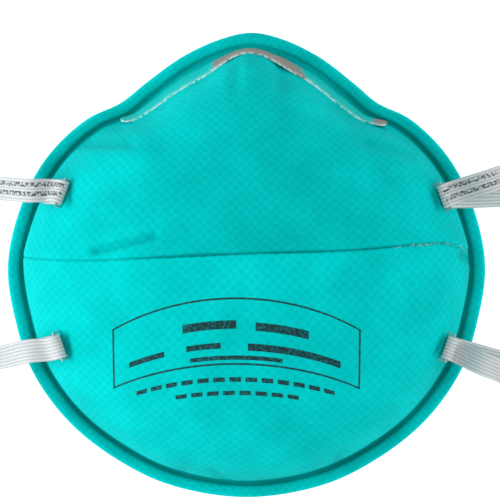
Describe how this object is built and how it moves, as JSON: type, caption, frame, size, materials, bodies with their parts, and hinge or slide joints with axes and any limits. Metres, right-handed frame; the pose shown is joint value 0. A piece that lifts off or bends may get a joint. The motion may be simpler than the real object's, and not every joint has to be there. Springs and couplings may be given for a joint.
{
  "type": "surgical face mask",
  "caption": "Moulded cup face mask with a welded rim, a bent nose clip and flat elastic headbands, for covering the nose and mouth.",
  "frame": {"origin": "middle of the mask's box without its headbands, on the surface that the rim rests on", "axes": "+X to the right as seen from the front, +Y up to the nose, +Z out of the face to the front of the dome"},
  "size_m": [0.1622, 0.1574, 0.0505],
  "materials": {
    "cup_nonwoven": "point-bonded teal nonwoven, moulded and matt",
    "clip_aluminium": "dull rolled strip, lacquered teal on its outer face and worn bare at the bend",
    "braided_elastic": "white flat braid with lengthwise ribs",
    "staple_wire": "plain bent wire"
  },
  "bodies": {
    "root": {"cup_shell": "cup_nonwoven", "nose_clip": "clip_aluminium", "upper_headband": "braided_elastic", "lower_headband": "braided_elastic", "staple_upper_left": "staple_wire", "staple_upper_right": "staple_wire", "staple_lower_left": "staple_wire", "staple_lower_right": "staple_wire"}
  },
  "joints": []
}
